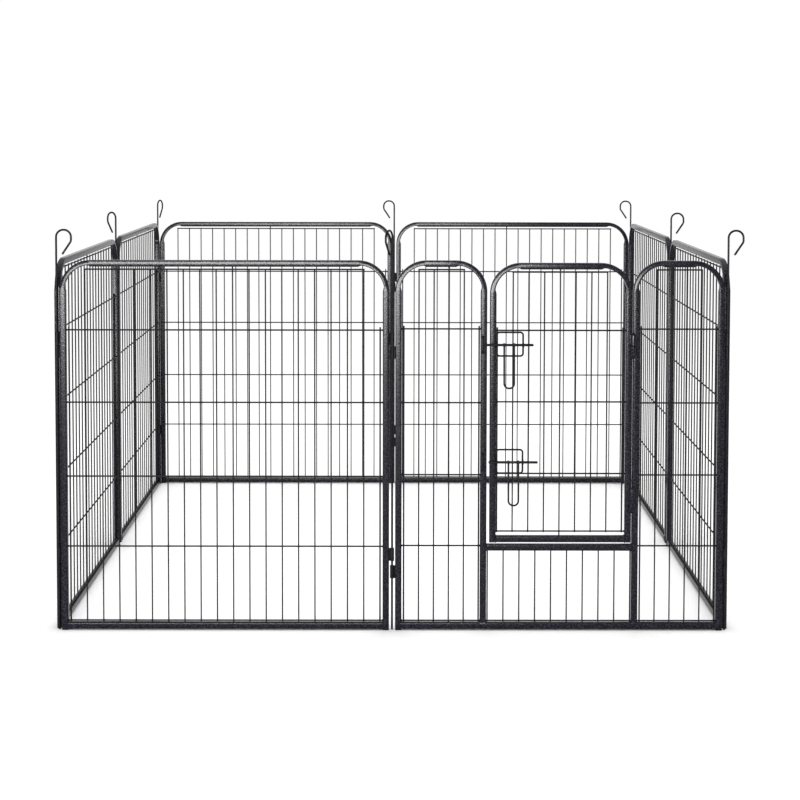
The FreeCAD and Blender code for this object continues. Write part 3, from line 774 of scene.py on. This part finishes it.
def black_paint(name, base, roughness, pebble, depth):
    """A thin black coat or black plastic, with a faint orange peel and uneven gloss."""
    material, tree, shader = node_tree(name)
    links = tree.links
    place = add_node(tree, "ShaderNodeTexCoord").outputs["Object"]
    peel = add_node(tree, "ShaderNodeTexNoise", Scale=pebble, Detail=2.0)
    links.new(place, peel.inputs["Vector"])
    cloud = add_node(tree, "ShaderNodeTexNoise", Scale=55.0, Detail=3.0)
    links.new(place, cloud.inputs["Vector"])
    dark = tuple(0.6 * part for part in base)
    light = tuple(1.7 * part for part in base)
    colour = colour_ramp(tree, cloud.outputs["Fac"], [(0.3, dark), (0.7, light)])
    links.new(colour, shader.inputs["Base Color"])
    links.new(mapped(tree, roughness - 0.08, roughness + 0.12, cloud.outputs["Fac"]),
              shader.inputs["Roughness"])
    shader.inputs["Specular IOR Level"].default_value = 0.04
    bump = add_node(tree, "ShaderNodeBump", Strength=0.4, Distance=depth)
    links.new(peel.outputs["Fac"], bump.inputs["Height"])
    links.new(bump.outputs["Normal"], shader.inputs["Normal"])
    return material


def floor_finish():
    material, tree, shader = node_tree("pale_floor")
    place = add_node(tree, "ShaderNodeTexCoord").outputs["Object"]
    cloud = add_node(tree, "ShaderNodeTexNoise", Scale=1.5, Detail=4.0)
    tree.links.new(place, cloud.inputs["Vector"])
    colour = colour_ramp(tree, cloud.outputs["Fac"], [(0.2, (0.968,) * 3), (0.8, (0.985,) * 3)])
    tree.links.new(colour, shader.inputs["Base Color"])
    shader.inputs["Roughness"].default_value = 0.75
    shader.inputs["Specular IOR Level"].default_value = 0.15
    return material


hammered = hammered_paint("hammered_charcoal")
wire_coat = black_paint("wire_coat", (0.004, 0.004, 0.0045), 0.38, 900.0, 0.0001)
fitting_coat = black_paint("fitting_coat", (0.004, 0.004, 0.005), 0.34, 1200.0, 0.00012)
pin_coat = black_paint("pin_coat", (0.0035, 0.0035, 0.004), 0.28, 700.0, 0.00008)
cap_plastic = black_paint("cap_plastic", (0.006, 0.006, 0.006), 0.55, 1600.0, 0.0001)
FINISHES = {
    "tube": hammered,
    "wire_mesh": wire_coat,
    "hinge_pin": pin_coat,
    "latch": fitting_coat,
    "door_hinge": hammered,
    "knuckle": fitting_coat,
    "end_cap": cap_plastic,
}


# Placing

def piece(node, mesh, place, slot):
    """One visible piece, which stands for the CAD node of the same name."""
    thing = bpy.data.objects.new("look_" + node, mesh)
    bpy.context.scene.collection.objects.link(thing)
    thing.matrix_world = place
    if not mesh.materials:
        mesh.materials.append(FINISHES[slot])
    body = frame["nodes"][node]["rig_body"]
    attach(thing, body)
    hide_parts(node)


def along_floor(middle, turn):
    """The place of a panel whose middle is known and that runs the way of turn."""
    spin = Matrix.Rotation(math.radians(turn), 4, "Z")
    offset = spin @ Vector((PITCH / 2 * MM, 0, 0))
    return Matrix.Translation(Vector((middle.x, middle.y, 0)) - offset) @ spin


def middle_of(*nodes):
    """The middle of the box that holds these CAD nodes."""
    boxes = [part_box(node) for node in nodes]
    low = Vector([min(box[0][axis] for box in boxes) for axis in range(3)])
    high = Vector([max(box[1][axis] for box in boxes) for axis in range(3)])
    return (low + high) / 2


def skinned(name, draw, *details):
    skin = Skin()
    draw(skin, *details)
    return skin.mesh(name)


def draw_plain_rail(skin, chance):
    rail(skin, first_inner, last_inner, FOOT)
    for x in (first_inner, last_inner):
        butt_weld(skin, x, FOOT, chance)


def draw_plain_grid(skin, chance):
    grid(skin, PANEL_WIRES, (bottom_wire, *PANEL_ROWS), (first_inner, last_inner),
         HOOP_TOP - TOP_WIRE_DROP, (rail_top, HOOP_TOP - TUBE), chance)


def draw_caps(skin):
    end_cap(skin, half_gap + half_tube)
    end_cap(skin, last_face - half_tube)


def build_plain_panels():
    chance = random.Random(5)
    shared = {
        "hoop": (skinned("plain_hoop", hoop, half_gap, last_face, FOOT, HOOP_TOP), "tube"),
        "rail": (skinned("plain_rail", draw_plain_rail, chance), "tube"),
        "mesh": (skinned("plain_grid", draw_plain_grid, chance), "wire_mesh"),
        "knuckles": (skinned("plain_knuckles", knuckles, chance), "knuckle"),
        "end_caps": (skinned("plain_caps", draw_caps), "end_cap"),
    }
    for panel, turn in PLAIN_PANELS.items():
        place = along_floor(middle_of(panel + "_hoop"), turn)
        for part, (mesh, slot) in shared.items():
            piece(f"{panel}_{part}", mesh, place, slot)


def draw_gate_rails(skin, chance):
    rail(skin, half_gap, last_face, FOOT, mitred=True)
    rail(skin, left_end, right_end, SILL)
    for x in (left_end, right_end):
        butt_weld(skin, x, SILL, chance)
    for x in (left_end - half_tube, right_end + half_tube):
        stand_weld(skin, x, rail_top, chance)
    for corner, way in ((half_gap, 1), (last_face, -1)):
        for y in (-half_tube, half_tube):
            seam = [Vector((corner + way * reach, y, FOOT + reach)) for reach in MITRE_SEAM]
            bead(skin, seam, MITRE_BEAD, chance)


def draw_gate_grids(skin, chance):
    rows = (bottom_wire, *GATE_ROWS)
    top = HOOP_TOP - TOP_WIRE_DROP
    reach = (rail_top, HOOP_TOP - TUBE)
    offset, spacing, count = SECTION_WIRES
    right_wires = (right_end + offset - half_gap, spacing, count)
    grid(skin, SECTION_WIRES, rows, (first_inner, left_end - TUBE), top, reach, chance)
    grid(skin, right_wires, rows, (right_end + TUBE, last_inner), top, reach, chance)
    cross_wire(skin, bottom_wire, left_end, right_end)
    first, spacing, count = APRON_WIRES
    for number in range(count):
        x = first + spacing * number
        foot = rail_top if number == count // 2 else bottom_wire - BORDER_WIRE / 2
        upright(skin, x, foot, SILL, MESH_WIRE)
        blob(skin, Vector((x, WELD_BITE / 2, bottom_wire)), CROSSING_DROP, chance)
        blob(skin, Vector((x, -1, SILL)), FRAME_DROP, chance)


def draw_hinge_halves(skin, upper, chance):
    for bottom in HINGE_HEIGHTS:
        hinge_half(skin, bottom, upper, chance)


def draw_keepers(skin, chance):
    for _, height in BOLTS.values():
        keeper(skin, height, chance)


def draw_guides(skin, chance):
    for _, height in BOLTS.values():
        latch_guide(skin, height, chance)


def draw_door_rail(skin, chance):
    rail(skin, DOOR_LEFT + TUBE, door_right - TUBE, DOOR_BOTTOM)
    for x in (DOOR_LEFT + TUBE, door_right - TUBE):
        butt_weld(skin, x, DOOR_BOTTOM, chance)


def draw_door_grid(skin, chance):
    rail_edge = DOOR_BOTTOM + TUBE
    rows = (rail_edge + DOOR_WIRE_LIFT, *DOOR_ROWS)
    grid(skin, DOOR_WIRES, rows, (DOOR_LEFT + TUBE, door_right - TUBE),
         DOOR_TOP - TOP_WIRE_DROP, (rail_edge, DOOR_TOP - TUBE), chance)


def build_gate_and_door():
    chance = random.Random(11)
    place = along_floor(middle_of("gate_left_hoop", "gate_right_hoop"), 0)
    # An inner post stands on the floor rail, and an outer one meets it in a mitre.
    left_hoop = (half_gap, left_end, FOOT, HOOP_TOP, "left", 0, TUBE)
    right_hoop = (right_end, last_face, FOOT, HOOP_TOP, "right", TUBE, 0)
    drawings = [
        ("gate_left_hoop", "tube", hoop, *left_hoop),
        ("gate_right_hoop", "tube", hoop, *right_hoop),
        ("gate_rails", "tube", draw_gate_rails, chance),
        ("gate_mesh", "wire_mesh", draw_gate_grids, chance),
        ("gate_knuckles", "knuckle", knuckles, chance),
        ("gate_end_caps", "end_cap", draw_caps),
        ("gate_hinge_halves", "door_hinge", draw_hinge_halves, False, chance),
        ("gate_keepers", "latch", draw_keepers, chance),
        ("door_hoop", "tube", hoop, DOOR_LEFT, door_right, DOOR_BOTTOM, DOOR_TOP),
        ("door_rail", "tube", draw_door_rail, chance),
        ("door_mesh", "wire_mesh", draw_door_grid, chance),
        ("door_hinge_halves", "door_hinge", draw_hinge_halves, True, chance),
        ("door_latch_guides", "latch", draw_guides, chance),
    ]
    for node, slot, draw, *details in drawings:
        piece(node, skinned(node, draw, *details), place, slot)
    handle_mesh = skinned("bolt_handle", handle)
    for name, (tip, height) in BOLTS.items():
        piece(name + "_bolt", skinned(name + "_bolt", bolt, tip, height), place, "latch")
        hang = Vector((tip + HANDLE_OFFSET, -BOLT_STANDOFF, height)) * MM
        lean = Matrix.Rotation(math.radians(-HANDLE_TILT), 4, "X")
        piece(name + "_bolt_handle", handle_mesh, place @ Matrix.Translation(hang) @ lean, "latch")


def build_pins():
    mesh = skinned("hinge_pin", hinge_pin)
    for name, (east, north, turn) in PINS.items():
        spot = Vector((east * PITCH * MM, north * PITCH * MM, 0))
        place = Matrix.Translation(spot) @ Matrix.Rotation(math.radians(turn), 4, "Z")
        piece("pin_" + name, mesh, place, "hinge_pin")


build_plain_panels()
build_gate_and_door()
build_pins()


# Studio: metres, degrees, millimetres for the lens, watts for a light

CAMERA_PLACE = (0.0129, -4.1338, 1.0807)
CAMERA_PITCH = 2.8
CAMERA_YAW = -0.055
CAMERA_ROLL = 0.083
CAMERA_LENS = 71.67
CAMERA_SHIFT = -0.2384
FLOOR_SIDE = 40.0
FLOOR_DEPTH = 0.02
WORLD_WHITE = 1.03


def build_camera():
    data = bpy.data.cameras.new("camera")
    data.lens = CAMERA_LENS
    data.shift_y = CAMERA_SHIFT
    camera = bpy.data.objects.new("camera", data)
    bpy.context.scene.collection.objects.link(camera)
    camera.matrix_world = (Matrix.Translation(CAMERA_PLACE)
                           @ Matrix.Rotation(math.radians(CAMERA_YAW), 4, "Z")
                           @ Matrix.Rotation(math.radians(90 - CAMERA_PITCH), 4, "X")
                           @ Matrix.Rotation(math.radians(CAMERA_ROLL), 4, "Z"))
    bpy.context.scene.camera = camera


def softbox(name, spot, target, width, height, watts):
    """An area light that the camera doesn't see."""
    data = bpy.data.lights.new(name, "AREA")
    data.shape = "RECTANGLE"
    data.size = width
    data.size_y = height
    data.energy = watts
    light = bpy.data.objects.new(name, data)
    bpy.context.scene.collection.objects.link(light)
    light.location = spot
    light.visible_camera = False
    aim = Vector(target) - Vector(spot)
    light.rotation_euler = aim.to_track_quat("-Z", "Y").to_euler()
    return light


def build_floor():
    skin = Skin()
    half = FLOOR_SIDE / MM / 2
    corners = ((-half, -half), (half, -half), (half, half), (-half, half))
    skin.loft([[Vector((x, y, z)) for x, y in corners] for z in (-FLOOR_DEPTH / MM, 0)])
    floor = bpy.data.objects.new("floor", skin.mesh("floor"))
    floor.data.materials.append(floor_finish())
    bpy.context.scene.collection.objects.link(floor)
    return floor


def keep_light_off(light, thing):
    flagged = bpy.data.collections.new("flagged_off_" + light.name)
    flagged.objects.link(thing)
    flagged.collection_objects[0].light_linking.link_state = "EXCLUDE"
    light.light_linking.receiver_collection = flagged


def build_studio():
    world = bpy.data.worlds.new("studio")
    world.use_nodes = True
    world.node_tree.nodes["Background"].inputs["Color"].default_value = (1, 1, 1, 1)
    world.node_tree.nodes["Background"].inputs["Strength"].default_value = WORLD_WHITE
    bpy.context.scene.world = world

    softbox("overhead", spot=(0.0, -0.3, 3.2), target=(0, 0, 0.4),
            width=3.0, height=3.0, watts=40)
    front = softbox("behind_camera", spot=(-1.2, -6.6, 0.75), target=(-0.3, -0.7, 0.8),
                    width=3.4, height=1.1, watts=900)
    # Lit from the front, the floor would glare and swallow the thin wires.
    keep_light_off(front, build_floor())
    bpy.context.scene.view_settings.view_transform = "Standard"
    bpy.context.scene.view_settings.look = "None"


build_camera()
build_studio()
